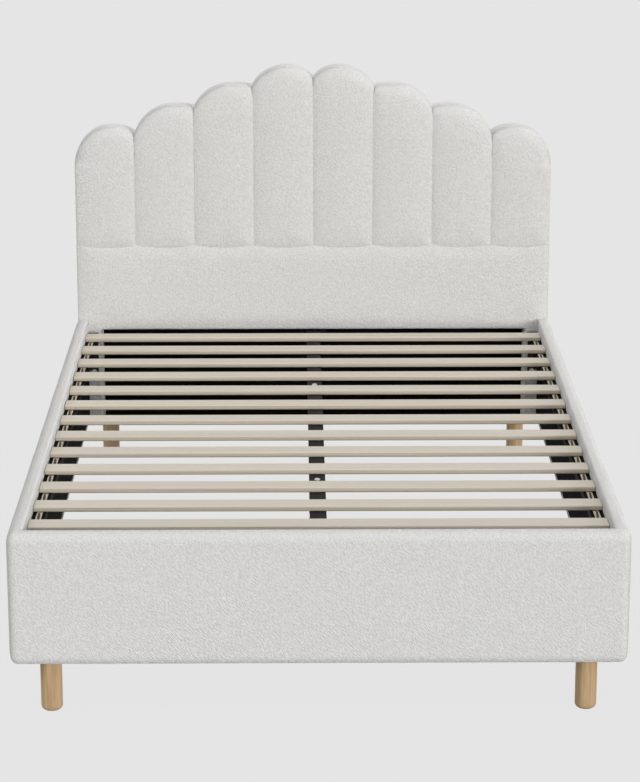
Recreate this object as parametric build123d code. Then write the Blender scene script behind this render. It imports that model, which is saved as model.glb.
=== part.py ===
from build123d import *
import math
import os

# Upholstered bed for a 1400 x 2000 mm mattress, millimetres.
# +Z is up, the foot end faces -Y and the origin is on the floor under the middle of the bed.

# Mattress space between the rails
inner_width = 1402.0
inner_length = 2068.0

# Upholstered rails
rail_thickness = 37.0
rail_height = 330.0
rail_board = 25.0
rail_skin = 8.5
rail_roll = 16.0
rail_corner = 13.0
rail_inner_round = 5.0
rail_under_round = 20.0
rail_top_above_slats = 26.0
lining_thickness = 2.0
lining_border_bottom = 26.0

# Legs
leg_height = 128.0
leg_diameter = 52.0
leg_foot_round = 13.0
leg_inset_side = 95.0
leg_inset_foot = 51.0
stud_diameter = 8.0
stud_in_leg = 35.0
stud_in_frame = 45.0
corner_block_height = 60.0
corner_block_length = 92.0
corner_block_width = 100.0

# Slats and what they lie on
slat_count = 13
slat_width = 60.0
slat_thickness = 13.5
slat_end_gap = 2.0
slat_head_space = 70.0
slat_foot_space = 102.0
slat_edge_round = 4.0
strap_width = 14.0
strap_thickness = 2.0
strap_from_rail = 18.0
ledge_width = 32.0
ledge_height = 20.0

# Centre beam, its hangers and its legs
beam_width = 41.0
beam_height = 40.0
beam_wall = 2.0
beam_groove_width = 1.5
beam_groove_depth = 1.0
hanger_plate = 3.0
hanger_length = 40.0
hanger_lip = 18.0
centre_leg_diameter = 32.0
centre_leg_clear = 30.0
back_leg_slat_count = 4
front_leg_slat_count = 10
bolt_diameter = 8.0
bolt_head_diameter = 15.0
bolt_head_height = 4.5
centre_bolt_in_leg = 40.0
foot_diameter = 38.0
foot_height = 14.0
foot_stem_diameter = 10.0
foot_stem_length = 50.0
foot_travel = 15.0
stem_room = 1.0

# Corner brackets
bracket_flange = 30.0
bracket_plate = 3.0
bracket_height = 124.0
bracket_bolt_spacing = 84.0
bracket_bolt_grip = 20.0

# Headboard, with its scallops' heights above the seam from the middle outwards
# and each crown's place as a share of its channel's width
headboard_step = 5.0
channels_per_side = 4
pad_thickness = 54.0
channel_roll = 30.0
groove_depth = 14.0
lower_pad_roll = 14.0
lower_pad_height = 267.0
lower_pad_below_rail_top = 36.0
valley_heights = (518.0, 493.0, 428.0, 348.0, 255.0)
crown_heights = (552.0, 497.0, 433.0, 368.0)
crown_places = (0.46, 0.35, 0.32, 0.38)
post_width = 76.0
post_roll = 14.0
front_board = 12.0
frame_depth = 44.0
back_cover = 4.0
edge_band = 6.0
stile_width = 60.0
cross_rail_height = 60.0
top_frame_width = 50.0

# Clearances
soft_gap = 0.3
slide_gap = 0.05
hole_gap = 0.1

# Places worked out from the sizes
half_inner = inner_width / 2
half_outer = half_inner + rail_thickness
headboard_depth = pad_thickness + front_board + frame_depth + back_cover
overall_length = rail_thickness + inner_length + headboard_depth
front_y = -overall_length / 2
foot_inner_y = front_y + rail_thickness
head_y = foot_inner_y + inner_length
board_y = head_y + pad_thickness
frame_y = board_y + front_board
cover_y = frame_y + frame_depth
rail_bottom = leg_height
rail_top = rail_bottom + rail_height
slat_top = rail_top - rail_top_above_slats
slat_bottom = slat_top - slat_thickness
ledge_top = slat_bottom - strap_thickness
ledge_bottom = ledge_top - ledge_height
slat_pitch = (inner_length - slat_head_space - slat_foot_space - slat_width) / (slat_count - 1)
first_slat_y = head_y - slat_head_space - slat_width / 2
pad_bottom = rail_top - lower_pad_below_rail_top
seam_z = pad_bottom + lower_pad_height
half_headboard = half_outer - headboard_step
channel_width = half_headboard / channels_per_side
leg_x = half_outer - leg_inset_side
front_leg_y = front_y + leg_inset_foot
back_leg_y = frame_y + frame_depth / 2
bracket_mid_z = ledge_bottom - bracket_height / 2
strap_x = half_inner - strap_from_rail
post_inner_x = half_headboard - post_width
lining_y = board_y - lining_thickness
beam_bottom = slat_bottom - beam_height
lining_bottom = rail_bottom + lining_border_bottom
stile_top = seam_z + valley_heights[-1] - edge_band
stile_x = half_headboard - edge_band
board_x = half_inner + lining_thickness

nodes = {}


def block(x0, x1, y0, y1, z0, z1):
    """A box between two corners."""
    return Pos((x0 + x1) / 2, (y0 + y1) / 2, (z0 + z1) / 2) * Box(x1 - x0, y1 - y0, z1 - z0)


def rod(x, y, z0, z1, diameter):
    """An upright cylinder."""
    return Pos(x, y, (z0 + z1) / 2) * Cylinder(diameter / 2, z1 - z0)


def rod_x(x0, x1, y, z, diameter):
    """A cylinder along X."""
    return Pos((x0 + x1) / 2, y, z) * Rot(0, 90, 0) * Cylinder(diameter / 2, abs(x1 - x0))


def rod_y(x, y0, y1, z, diameter):
    """A cylinder along Y."""
    return Pos(x, (y0 + y1) / 2, z) * Rot(90, 0, 0) * Cylinder(diameter / 2, abs(y1 - y0))


def mirrored(solid):
    """The same piece on the other side of the bed."""
    return mirror(solid, about=Plane.YZ)


def roll_inset(share, width):
    """How far a rolled edge has drawn in at a share of the pad's thickness."""
    return width * (1 - math.sqrt(1 - share**2))


def scallop(k, inset, x0, x1):
    """Points over channel k from x1 to x0: two arcs that are level where they meet at the crown."""
    crown_x = (k + crown_places[k]) * channel_width
    points = []
    for x in (x1, (x1 + crown_x) / 2, crown_x, (crown_x + x0) / 2, x0):
        end = k + 1 if x > crown_x else k
        run = end * channel_width - crown_x
        drop = crown_heights[k] - valley_heights[end]
        radius = (run**2 + drop**2) / (2 * drop)
        rise = math.sqrt(max((radius - inset) ** 2 - (x - crown_x) ** 2, 0.0))
        points.append((x, seam_z + crown_heights[k] - radius + rise))
    return points


def channel_section(k, inset, y):
    """Outline of channel k at depth y, drawn in by inset."""
    x0 = k * channel_width + soft_gap + inset
    x1 = (k + 1) * channel_width - soft_gap - inset
    z0 = seam_z + soft_gap + inset
    top = [(x, y, z) for x, z in scallop(k, inset, x0, x1)]
    a, b = (x0, y, z0), (x1, y, z0)
    arcs = [ThreePointArc(*top[:3]), ThreePointArc(*top[2:])]
    return Wire([Line(a, b), Line(b, top[0])] + arcs + [Line(top[-1], a)])


def rectangle_section(x0, x1, z0, z1, corner, y):
    """Rectangle with rounded corners at depth y."""
    face = RectangleRounded(x1 - x0, z1 - z0, corner)
    return (Plane(((x0 + x1) / 2, y, (z0 + z1) / 2), (1, 0, 0), (0, -1, 0)) * face).wire()


def rolled_pad(section, roll, back, depth):
    """A pad that lofts from its back outline to a flat front through a rolled edge."""
    shares = (0.0, 0.5, 0.8, 0.95, 1.0)
    return Solid.make_loft([section(roll_inset(s, roll), back - s * depth) for s in shares])


def deep_pad(section, roll):
    """A headboard pad: straight sides from the board forward, then a rolled front edge."""
    edge_y = head_y + groove_depth
    straight = Solid.make_loft([section(0, board_y), section(0, edge_y)], True)
    return Part() + straight + rolled_pad(section, roll, edge_y, groove_depth)


def rail_cover_profile():
    """Cross-section of the right side rail's padding, in X and Z."""
    face = Pos((half_inner + half_outer) / 2, (rail_bottom + rail_top) / 2) * Rectangle(rail_thickness, rail_height)
    outer = face.vertices().group_by(Axis.X)[-1]
    face = fillet(outer, rail_roll)
    inner_top = face.vertices().group_by(Axis.X)[0].sort_by(Axis.Y)[-1]
    face = fillet(inner_top, rail_inner_round)
    inner_bottom = face.vertices().group_by(Axis.X)[0].sort_by(Axis.Y)[0]
    return fillet(inner_bottom, rail_under_round)


def on_xz(sketch, y):
    """A sketch drawn in X and Z, stood up at depth y, facing the foot end."""
    return Plane((0, y, 0), (1, 0, 0), (0, -1, 0)) * sketch


def side_rail():
    """Board, padding and black lining of the right side rail."""
    board_z = (rail_bottom + rail_under_round, rail_top - rail_skin)
    board = block(board_x, board_x + rail_board, foot_inner_y, head_y, *board_z)
    lining = block(half_inner, board_x, foot_inner_y, head_y, lining_bottom, ledge_bottom)
    cover = extrude(on_xz(rail_cover_profile(), head_y), inner_length) - board - lining
    return board, cover, lining


def foot_rail():
    """Board, padding and black lining of the low rail across the foot end."""
    board_back = foot_inner_y - lining_thickness
    board_half = half_outer - (rail_thickness - rail_board - lining_thickness)
    board_z = (rail_bottom + rail_skin, rail_top - rail_skin)
    board = block(-board_half, board_half, board_back - rail_board, board_back, *board_z)
    lining = block(-half_inner, half_inner, board_back, foot_inner_y, lining_bottom, ledge_bottom)

    def section(inset, y):
        x = half_outer - inset
        return rectangle_section(-x, x, rail_bottom + inset, rail_top - inset, rail_corner, y)

    padding = rolled_pad(section, rail_roll, foot_inner_y - rail_inner_round, rail_thickness - rail_inner_round)
    back_edge = [section(rail_inner_round, foot_inner_y), section(0, foot_inner_y - rail_inner_round)]
    cover = Part() + padding + Solid.make_loft(back_edge, True) - board - lining
    return board, cover, lining


def corner_bracket(end_y, into_bed):
    """Angle in the right-hand corner at end_y, with its bolt places on both flanges."""
    z0 = bracket_mid_z - bracket_height / 2
    z1 = bracket_mid_z + bracket_height / 2
    plate_y = end_y + into_bed * bracket_plate
    far_y = end_y + into_bed * bracket_flange
    on_end = block(half_inner - bracket_flange, half_inner, min(end_y, plate_y), max(end_y, plate_y), z0, z1)
    on_rail = block(half_inner - bracket_plate, half_inner, min(end_y, far_y), max(end_y, far_y), z0, z1)
    return on_end + on_rail


def bracket_bolts(end_y, into_bed, end_grip):
    """Bolts of the right-hand corner at end_y, and the same bolts as plain holes."""
    reach = (bracket_flange + bracket_plate) / 2
    bolts, holes = [], []
    for side in (-1, 1):
        z = bracket_mid_z + side * bracket_bolt_spacing / 2
        x = half_inner - reach
        y0 = end_y + into_bed * bracket_plate
        y1 = end_y - into_bed * end_grip
        shank = rod_y(x, y0, y1, z, bolt_diameter)
        head = rod_y(x, y0, y0 + into_bed * bolt_head_height, z, bolt_head_diameter)
        bolts.append(shank + head)
        holes.append(rod_y(x, y0, y1, z, bolt_diameter + 2 * hole_gap))
        y = end_y + into_bed * reach
        x0 = half_inner - bracket_plate
        x1 = half_inner + bracket_bolt_grip
        shank = rod_x(x0, x1, y, z, bolt_diameter)
        head = rod_x(x0 - bolt_head_height, x0, y, z, bolt_head_diameter)
        bolts.append(shank + head)
        holes.append(rod_x(x0, x1, y, z, bolt_diameter + 2 * hole_gap))
    return bolts, holes


def drilled(solid, holes):
    """The solid with the holes that reach it."""
    for hole in holes:
        solid = solid - hole
    return solid


def turned_leg(x, y):
    """Round wooden leg with a rounded foot and a hole for its stud."""
    leg = rod(x, y, 0, leg_height, leg_diameter)
    leg = fillet(leg.edges().group_by(Axis.Z)[0], leg_foot_round)
    return leg - rod(x, y, leg_height - stud_in_leg, leg_height, stud_diameter + 2 * hole_gap)


def slat(y):
    """One springy slat with rounded long edges."""
    length = inner_width - 2 * slat_end_gap
    bar = Pos(0, y, slat_top - slat_thickness / 2) * Box(length, slat_width, slat_thickness)
    return fillet(bar.edges().filter_by(Axis.X), slat_edge_round)


def slat_y(number):
    """Middle of a slat, counted from the headboard."""
    return first_slat_y - (number - 1) * slat_pitch


def centre_beam():
    """Black box-section beam with the lap of its folded sheet along the top."""
    y0, y1 = foot_inner_y + hanger_plate, lining_y - hanger_plate
    half = beam_width / 2
    tube = block(-half, half, y0, y1, beam_bottom, slat_bottom)
    bore = block(beam_wall - half, half - beam_wall, y0, y1, beam_bottom + beam_wall, slat_bottom - beam_wall)
    lap_x = -beam_width / 6
    groove_z = slat_bottom - beam_groove_depth
    groove = block(lap_x, lap_x + beam_groove_width, y0, y1, groove_z, slat_bottom)
    return tube - bore - groove


def beam_hanger(end_y, into_bed):
    """Steel tray that carries one end of the beam."""
    half = beam_width / 2 + hole_gap
    outer = half + hanger_plate
    z0, z1 = beam_bottom - hanger_plate, slat_bottom - hanger_plate
    far_y = end_y + into_bed * hanger_length
    plate_y = end_y + into_bed * hanger_plate
    tray = block(-outer, outer, min(end_y, far_y), max(end_y, far_y), z0, z1)
    room = block(-half, half, min(plate_y, far_y), max(plate_y, far_y), beam_bottom, z1)
    lip = outer + hanger_lip
    plate = block(-lip, lip, min(end_y, plate_y), max(end_y, plate_y), z0, z1)
    return tray - room + plate


def centre_leg(y):
    """Support leg under the beam, bored for its bolt and for its levelling foot."""
    leg = rod(0, y, centre_leg_clear, beam_bottom, centre_leg_diameter)
    bolt_hole = rod(0, y, beam_bottom - centre_bolt_in_leg, beam_bottom, bolt_diameter + 2 * hole_gap)
    bore_top = foot_height + foot_stem_length + foot_travel + stem_room
    bore = rod(0, y, centre_leg_clear, bore_top, foot_stem_diameter + 2 * slide_gap)
    return leg - bolt_hole - bore


def centre_bolt(y):
    """Round-headed bolt through the beam into a support leg."""
    shank = rod(0, y, beam_bottom - centre_bolt_in_leg, slat_bottom, bolt_diameter)
    head = rod(0, y, slat_bottom, slat_bottom + bolt_head_height, bolt_head_diameter)
    return shank + fillet(head.edges().group_by(Axis.Z)[-1], bolt_head_height * 0.7)


def levelling_foot(y):
    """Foot plate with the stem that screws up into a support leg."""
    plate = rod(0, y, 0, foot_height, foot_diameter)
    plate = fillet(plate.edges().group_by(Axis.Z)[-1], foot_height / 3)
    return plate + rod(0, y, foot_height, foot_height + foot_stem_length, foot_stem_diameter)


def shell_outline(inset):
    """Outline of the headboard drawn in by inset: straight sides under a row of scallops."""
    half = half_headboard - inset
    end = (half, rail_bottom)
    right = []
    for k in reversed(range(channels_per_side)):
        top = scallop(k, inset, k * channel_width, min((k + 1) * channel_width, half))
        if math.dist(end, top[0]) > 0.001:
            right.append(Line(end, top[0]))
        right += [ThreePointArc(*top[:3]), ThreePointArc(*top[2:])]
        end = top[-1]
    left = [mirror(edge, about=Plane.YZ) for edge in right]
    base = Line((-half, rail_bottom), (half, rail_bottom))
    return make_face([base] + right + left)


def band(z0, z1, half):
    """A level strip of the headboard, in X and Z."""
    return Pos(0, (z0 + z1) / 2) * Rectangle(2 * half, z1 - z0)


def headboard_frame():
    """Boards, battens and edge strip behind the headboard's pads."""
    outline = shell_outline(0)
    core = shell_outline(edge_band)
    arch_room = Pos(0, -top_frame_width) * core & band(0, seam_z + valley_heights[0], stile_x - stile_width)
    arch = core - arch_room - band(0, stile_top, half_headboard)
    board = extrude(on_xz(core, frame_y), front_board)
    arch = extrude(on_xz(arch, cover_y), frame_depth)
    back = extrude(on_xz(core, cover_y + back_cover), back_cover)
    strip = extrude(on_xz(outline - core, cover_y + back_cover), cover_y + back_cover - board_y)
    inner_x = stile_x - stile_width
    stile = block(inner_x, stile_x, frame_y, cover_y, rail_bottom, stile_top)
    low = block(-inner_x, inner_x, frame_y, cover_y, rail_bottom, rail_bottom + cross_rail_height)
    mid_z = seam_z - cross_rail_height / 2
    middle = block(-inner_x, inner_x, frame_y, cover_y, mid_z, mid_z + cross_rail_height)
    return board, arch, back, strip, stile, low, middle


def lower_pad():
    """Plain pad across the headboard under the channels."""

    def section(inset, y):
        x = half_headboard - inset
        return rectangle_section(-x, x, pad_bottom + inset, seam_z - soft_gap - inset, lower_pad_roll / 3, y)

    return deep_pad(section, lower_pad_roll)


def post():
    """Upholstered post on the right, where the rail is bolted on."""
    body = block(post_inner_x, half_headboard, head_y, board_y, rail_bottom, pad_bottom)
    edge = body.edges().filter_by(Axis.Z).group_by(Axis.Y)[0].sort_by(Axis.X)[-1]
    return fillet(edge, post_roll)


def channel(k):
    """Padded channel k of the right half, counted from the middle."""

    def section(inset, y):
        return channel_section(k, inset, y)

    return deep_pad(section, channel_roll)


head_grip = pad_thickness + front_board + bracket_bolt_grip
head_bolts, head_holes = bracket_bolts(head_y, -1, head_grip)
foot_bolts, foot_holes = bracket_bolts(foot_inner_y, 1, bracket_bolt_grip)
all_holes = head_holes + foot_holes
all_holes += [mirrored(hole) for hole in all_holes]
corner_angles = [corner_bracket(head_y, -1), corner_bracket(foot_inner_y, 1)]
corner_bolts = head_bolts + foot_bolts
nodes["corner_brackets"] = [drilled(angle, all_holes) for angle in corner_angles]
nodes["corner_brackets"] += [mirrored(angle) for angle in nodes["corner_brackets"]]
nodes["bracket_bolts"] = corner_bolts + [mirrored(bolt) for bolt in corner_bolts]

rail_board_right, rail_cover_right, rail_lining_right = side_rail()
side_pieces = {
    "side_rail_board": drilled(rail_board_right, head_holes + foot_holes),
    "side_rail_cover": rail_cover_right,
    "side_rail_lining": drilled(rail_lining_right, head_holes + foot_holes),
    "slat_ledge": block(half_inner - ledge_width, half_inner, foot_inner_y, head_y, ledge_bottom, ledge_top),
    "headboard_post": drilled(post(), head_holes),
}
strap_ends = (slat_y(slat_count) - slat_width / 2, slat_y(1) + slat_width / 2)
strap_sides = (strap_x - strap_width / 2, strap_x + strap_width / 2)
side_pieces["slat_strap"] = block(*strap_sides, *strap_ends, ledge_top, slat_bottom)
for name, piece in side_pieces.items():
    nodes[name + "_right"] = piece
    nodes[name + "_left"] = mirrored(piece)

foot_board, foot_cover, foot_lining = foot_rail()
nodes["foot_rail_board"] = drilled(foot_board, all_holes)
nodes["foot_rail_cover"] = foot_cover
nodes["foot_rail_lining"] = drilled(foot_lining, all_holes)

block_sides = (half_inner - corner_block_width, half_inner)
block_ends = (foot_inner_y, foot_inner_y + corner_block_length)
corner_block = block(*block_sides, *block_ends, rail_bottom, rail_bottom + corner_block_height)
stud_hole = stud_diameter + 2 * hole_gap
stud_top = rail_bottom + stud_in_frame
corner_block -= rod(leg_x, front_leg_y, rail_bottom, stud_top, stud_hole)
nodes["corner_blocks"] = [corner_block, mirrored(corner_block)]
studs = []
for place, y in (("front", front_leg_y), ("back", back_leg_y)):
    for side, x in (("left", -leg_x), ("right", leg_x)):
        nodes["leg_" + place + "_" + side] = turned_leg(x, y)
        studs.append(rod(x, y, leg_height - stud_in_leg, stud_top, stud_diameter))
nodes["leg_studs"] = studs

for number in range(1, slat_count + 1):
    nodes[f"slat_{number:02d}"] = slat(slat_y(number))

support_ys = {
    "back": slat_y(back_leg_slat_count) - slat_pitch / 2,
    "front": slat_y(front_leg_slat_count) - slat_pitch / 2,
}
beam_holes = [rod(0, y, beam_bottom, slat_bottom, bolt_diameter + 2 * hole_gap) for y in support_ys.values()]
nodes["centre_beam"] = drilled(centre_beam(), beam_holes)
nodes["beam_hangers"] = [beam_hanger(foot_inner_y, 1), beam_hanger(lining_y, -1)]
nodes["centre_leg_bolts"] = [centre_bolt(y) for y in support_ys.values()]
for place, y in support_ys.items():
    nodes["centre_leg_" + place] = centre_leg(y)
    nodes["levelling_foot_" + place] = levelling_foot(y)

hb_board, hb_arch, hb_back, hb_strip, hb_stile, hb_low, hb_middle = headboard_frame()
nodes["headboard_front_board"] = drilled(hb_board, all_holes)
nodes["headboard_top_frame"] = hb_arch
nodes["headboard_back_cover"] = hb_back
nodes["headboard_edge_strip"] = hb_strip
hb_stile = drilled(hb_stile, head_holes)
nodes["headboard_stiles"] = [hb_stile, mirrored(hb_stile)]
for x in (-leg_x, leg_x):
    hb_low -= rod(x, back_leg_y, rail_bottom, stud_top, stud_hole)
nodes["headboard_bottom_rail"] = hb_low
nodes["headboard_middle_rail"] = hb_middle
nodes["headboard_lining"] = block(-post_inner_x, post_inner_x, lining_y, board_y, rail_bottom, pad_bottom)
nodes["headboard_lower_pad"] = lower_pad()
for k in range(channels_per_side):
    pad = channel(k)
    nodes[f"headboard_channel_{channels_per_side + 1 + k}"] = pad
    nodes[f"headboard_channel_{channels_per_side - k}"] = mirrored(pad)

os.makedirs("parts", exist_ok=True)
for name, piece in nodes.items():
    solids = piece if isinstance(piece, list) else [piece]
    group = [solid for item in solids for solid in item.solids()]
    export_step(group[0] if len(group) == 1 else Compound(group), f"parts/{name}.step")
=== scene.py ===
import math

import bmesh
import bpy
from bpy.props import FloatProperty, FloatVectorProperty, IntProperty, PointerProperty
from mathutils import Euler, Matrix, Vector, noise


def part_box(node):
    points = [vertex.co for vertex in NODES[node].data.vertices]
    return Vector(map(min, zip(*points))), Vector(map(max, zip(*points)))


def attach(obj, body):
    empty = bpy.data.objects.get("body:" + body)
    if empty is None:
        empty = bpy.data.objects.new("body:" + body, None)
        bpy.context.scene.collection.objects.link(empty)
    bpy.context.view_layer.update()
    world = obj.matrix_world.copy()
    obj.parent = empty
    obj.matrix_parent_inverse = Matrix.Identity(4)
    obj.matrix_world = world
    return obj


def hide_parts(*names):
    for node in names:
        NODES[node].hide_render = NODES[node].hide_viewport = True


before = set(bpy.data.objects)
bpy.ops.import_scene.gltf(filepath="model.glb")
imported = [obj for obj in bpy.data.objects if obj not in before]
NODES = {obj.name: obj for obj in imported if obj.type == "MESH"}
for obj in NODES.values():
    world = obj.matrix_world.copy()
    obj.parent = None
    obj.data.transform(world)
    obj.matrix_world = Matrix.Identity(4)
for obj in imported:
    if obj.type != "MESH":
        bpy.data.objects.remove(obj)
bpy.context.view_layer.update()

bl_info = {
    "name": "Upholstered bed with a scalloped headboard",
    "version": (1, 0, 0),
    "blender": (4, 5, 0),
    "location": "3D View > Sidebar > Bed",
    "description": "Dresses the packed bed frame in boucle, wood, webbing and steel",
    "category": "Object",
}

# Steps round each rolled edge of a cover
ROLL_STEPS = 6
# Channels on each side of the headboard's middle
CHANNELS = 4
# Lumps of a rail's foam to a metre, and how far from the bare inner face the foam starts
FOAM_LUMPS = 6.0
BOARD_EDGE = 0.006
# Cells of the flat cloths: width on the back, rows on the back, width and height on the linings
BACK_CELL = 0.010
BACK_ROWS = 83
LINING_CELL = 0.014
LINING_ROW = 0.012
# Cells across a strap, and their length between two slats
STRAP_CELLS = 12
STRAP_ROW = 0.003
# Sheen of the edge strip's flatter loops, where the pads have 1
STRIP_FUZZ = 0.15
# Distance round the ends of the side rails over which the headboard's cover can't swell
RAIL_ROOM = 0.02

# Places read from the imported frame, in metres
PAD_LOW, PAD_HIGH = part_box("headboard_lower_pad")
POST_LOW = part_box("headboard_post_right")[0]
RAIL_LOW, RAIL_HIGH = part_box("side_rail_cover_right")
FOOT_LOW, FOOT_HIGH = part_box("foot_rail_cover")
RAIL_LINING_LOW, RAIL_LINING_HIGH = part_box("side_rail_lining_right")
FOOT_LINING_LOW, FOOT_LINING_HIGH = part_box("foot_rail_lining")
STRIP_LOW, STRIP_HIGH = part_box("headboard_edge_strip")
BACK_LOW, BACK_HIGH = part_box("headboard_back_cover")
STRAP_LOW, STRAP_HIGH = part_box("slat_strap_right")
SLAT_LOW, SLAT_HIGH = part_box("slat_01")
SLATS = sorted(name for name in NODES if name.startswith("slat_") and name[5:].isdigit())

# The photograph's camera, in pixels, metres and degrees
PICTURE_HEIGHT = 782
FOCAL_PIXELS = 2638.5
CAMERA_PLACE = (-0.0528, -6.9934, 2.4296)
LOOK_DOWN = 15.42
LOOK_RIGHT = 0.532


def length(name, description, default):
    """A size in metres that a user can change."""
    return FloatProperty(name=name, description=description, default=default, unit="LENGTH", precision=4)


def colour(name, description, default):
    """A linear colour that a user can change."""
    return FloatVectorProperty(
        name=name, description=description, default=default, size=3, subtype="COLOR", min=0.0, max=1.0
    )


class BedSizes(bpy.types.PropertyGroup):
    """Sizes of the soft pieces."""

    cell: length("Cell", "Side of the cells that the pads are woven from", 0.0075)
    rail_cell: length("Rail cell", "Side of the cells of the rail covers", 0.004)
    groove: length("Groove", "Depth of the grooves between the channels", 0.0085)
    channel_roll: length("Channel roll", "Width of the roll along a channel's long sides", 0.036)
    scallop_roll: length("Scallop roll", "Width of the roll over the scalloped top", 0.030)
    seam_groove: length("Seam groove", "How far a channel's lower end falls back to the level seam", 0.005)
    panel_lip: length("Panel lip", "How far the panel's upper edge rolls back to the level seam", 0.006)
    seam_wave: length("Seam wave", "How far the level seam rises where two channels meet", 0.006)
    channel_foot_roll: length("Channel foot roll", "Width of the roll at a channel's lower end", 0.028)
    panel_roll: length("Panel roll", "Width of the roll along the panel's upper edge", 0.008)
    crown_fall: length("Crown fall", "How far a channel's top leans back before it rolls over", 0.010)
    crown_lean: length("Crown lean", "Height over which a channel's top leans back", 0.085)
    notch: length("Notch", "How far the scalloped top falls in at a seam", 0.004)
    notch_width: length("Notch width", "Distance from a seam over which the scalloped top falls in", 0.013)
    seam_lean: length("Seam lean", "How far the seams beside the middle pair lean out at their tops", 0.005)
    seam_bend: length("Seam bend", "Height over which those seams lean", 0.065)
    side_roll: length("Side roll", "Width of the roll down the headboard's sides", 0.006)
    edge_depth: length("Edge depth", "How far back the headboard's outer edges roll", 0.020)
    hem_roll: length("Hem roll", "Width of the roll along the panel's lower edge", 0.006)
    rail_roll: length("Rail roll", "Radius of the rails' outer edges", 0.021)
    rail_inner_roll: length("Rail inner roll", "Radius of the rails' upper inner edges", 0.005)
    rail_under_roll: length("Rail under roll", "Radius of the side rails' lower inner edges", 0.020)
    foot_inner_roll: length("Foot rail inner roll", "Radius of the foot rail's inner edges", 0.0025)
    swell: length("Swell", "Most that a stuffed pad swells", 0.005)
    pile: length("Pile", "Height of the boucle loops", 0.0005)
    pile_width: length("Pile width", "Width of the lumps that the loops make", 0.0045)
    strap_rise: length("Strap rise", "How far a slack strap rises between two slats", 0.003)
    strap_thickness: length("Strap thickness", "Thickness of the webbing", 0.0012)
    strip_thickness: length("Strip thickness", "Thickness of the padded strip round the headboard", 0.004)
    lining_thickness: length("Lining thickness", "Thickness of the black lining", 0.0005)
    lining_sunk: length("Lining sunk", "How far a lining lies back from the face of its piece", 0.0007)
    lining_cut: length("Lining cut", "How far a lining's long edges lie in from its piece's", 0.0006)
    staple_pitch: length("Staple pitch", "Distance between the staples of a lining", 0.11)
    staple_pull: length("Staple pull", "How far a lining is drawn in between its staples", 0.0006)
    staple_reach: length("Staple reach", "How far from its edge a lining is drawn in", 0.05)
    hem_width: length("Hem width", "Width of the turned edge of the back cloth", 0.016)
    hem_thickness: length("Hem thickness", "How far the turned edge stands out from the back cloth", 0.0012)
    back_hollow: length("Back hollow", "How far the back cloth sinks in between the stiles", 0.0012)
    back_hollow_start: length("Hollow start", "How far from its edge the back cloth starts to sink", 0.03)
    back_hollow_run: length("Hollow run", "Distance over which the back cloth sinks", 0.15)
    back_sunk: length("Back sunk", "How far the back cloth's hem lies in from the headboard's back", 0.0006)
    back_gap: length("Back gap", "Room between the back cloth and the frame", 0.0002)
    back_ripple: length("Back ripple", "Height of the ripples in the back cloth", 0.0004)
    lining_ripple: length("Lining ripple", "Height of the ripples in a lining", 0.0005)
    recess_gap: length("Recess gap", "Room behind a lining in the cover that it lies in", 0.0004)
    recess_lip: length("Recess lip", "Slope at the upper and lower edge of that recess", 0.0005)
    foam_waver: length("Foam waver", "How unevenly the foam of the rails lies under its cloth", 0.0006)
    pad_relief: length("Pad relief", "Depth between the loops on the headboard and foot rail", 0.0018)
    rail_relief: length("Rail relief", "Depth between the loops on the side rails", 0.0017)
    strip_relief: length("Strip relief", "Depth between the flatter loops on the edge strip", 0.0008)
    scallop_valleys: FloatVectorProperty(
        name="Scallop valleys",
        description="Heights of the scallops' valleys over the seam, from the middle outwards",
        default=(0.518, 0.493, 0.428, 0.348, 0.255),
        size=5,
        unit="LENGTH",
    )
    scallop_crowns: FloatVectorProperty(
        name="Scallop crowns",
        description="Heights of the scallops' crowns over the seam, from the middle outwards",
        default=(0.552, 0.497, 0.433, 0.368),
        size=4,
        unit="LENGTH",
    )
    crown_places: FloatVectorProperty(
        name="Crown places",
        description="Place of each crown as a share of its channel's width, from the middle outwards",
        default=(0.42, 0.35, 0.32, 0.38),
        size=4,
    )
    sim_frames: IntProperty(
        name="Filling frames", description="Frames of the stuffing simulation", default=20, min=2
    )


class BedColours(bpy.types.PropertyGroup):
    """Colours of the finishes."""

    boucle: colour("Boucle", "Tips of the looped fabric", (0.86, 0.855, 0.84))
    # Painted shade: the colour between the loops is darker, standing in for the shade in those hollows
    boucle_painted_hollow_shade: colour("Boucle, deep", "Between the loops of the fabric", (0.72, 0.71, 0.69))
    slat: colour("Slat", "Flat of a slat", (0.70, 0.635, 0.54))
    slat_edge: colour("Slat edge", "Edge of a slat", (0.64, 0.565, 0.45))
    leg: colour("Leg", "Pale grain of the legs", (0.64, 0.45, 0.25))
    leg_dark: colour("Leg, dark", "Dark grain of the legs", (0.31, 0.185, 0.085))
    timber: colour("Timber", "Raw frame timber", (0.62, 0.47, 0.30))
    webbing: colour("Webbing", "Straps of the slats", (0.74, 0.68, 0.55))
    # Painted shade: near-black colour laid in the straps' folds, standing in for the shade there
    webbing_painted_fold_shade: colour("Webbing, folded", "Shaded folds of the straps", (0.085, 0.055, 0.03))
    lining: colour("Lining", "Black lining", (0.006, 0.006, 0.006))
    back: colour("Back cloth", "Cloth over the back", (0.70, 0.69, 0.66))
    ledge: colour("Ledge", "Stained batten under the slats", (0.006, 0.0055, 0.0055))
    steel: colour("Black steel", "Powder coat of the beam", (0.010, 0.010, 0.010))
    bronze: colour("Bronze", "Coat of the corner brackets", (0.050, 0.026, 0.014))
    zinc: colour("Zinc", "Plate of the bolts", (0.72, 0.72, 0.71))
    plastic: colour("Plastic", "Levelling feet", (0.016, 0.016, 0.016))
    knot: colour("Knot", "Small knots of the legs", (0.09, 0.042, 0.016))
    soil: colour("Soil", "Patches of the straps that are a little soiled", (0.50, 0.43, 0.30))
    floor: colour("Floor", "Floor and background as they are seen", (0.783, 0.783, 0.783))
    floor_bounce: colour("Floor bounce", "Floor as it lights the bed and takes shadow", (0.40, 0.40, 0.40))


def sizes():
    return bpy.context.scene.bed_sizes


def colours():
    return bpy.context.scene.bed_colours


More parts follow.
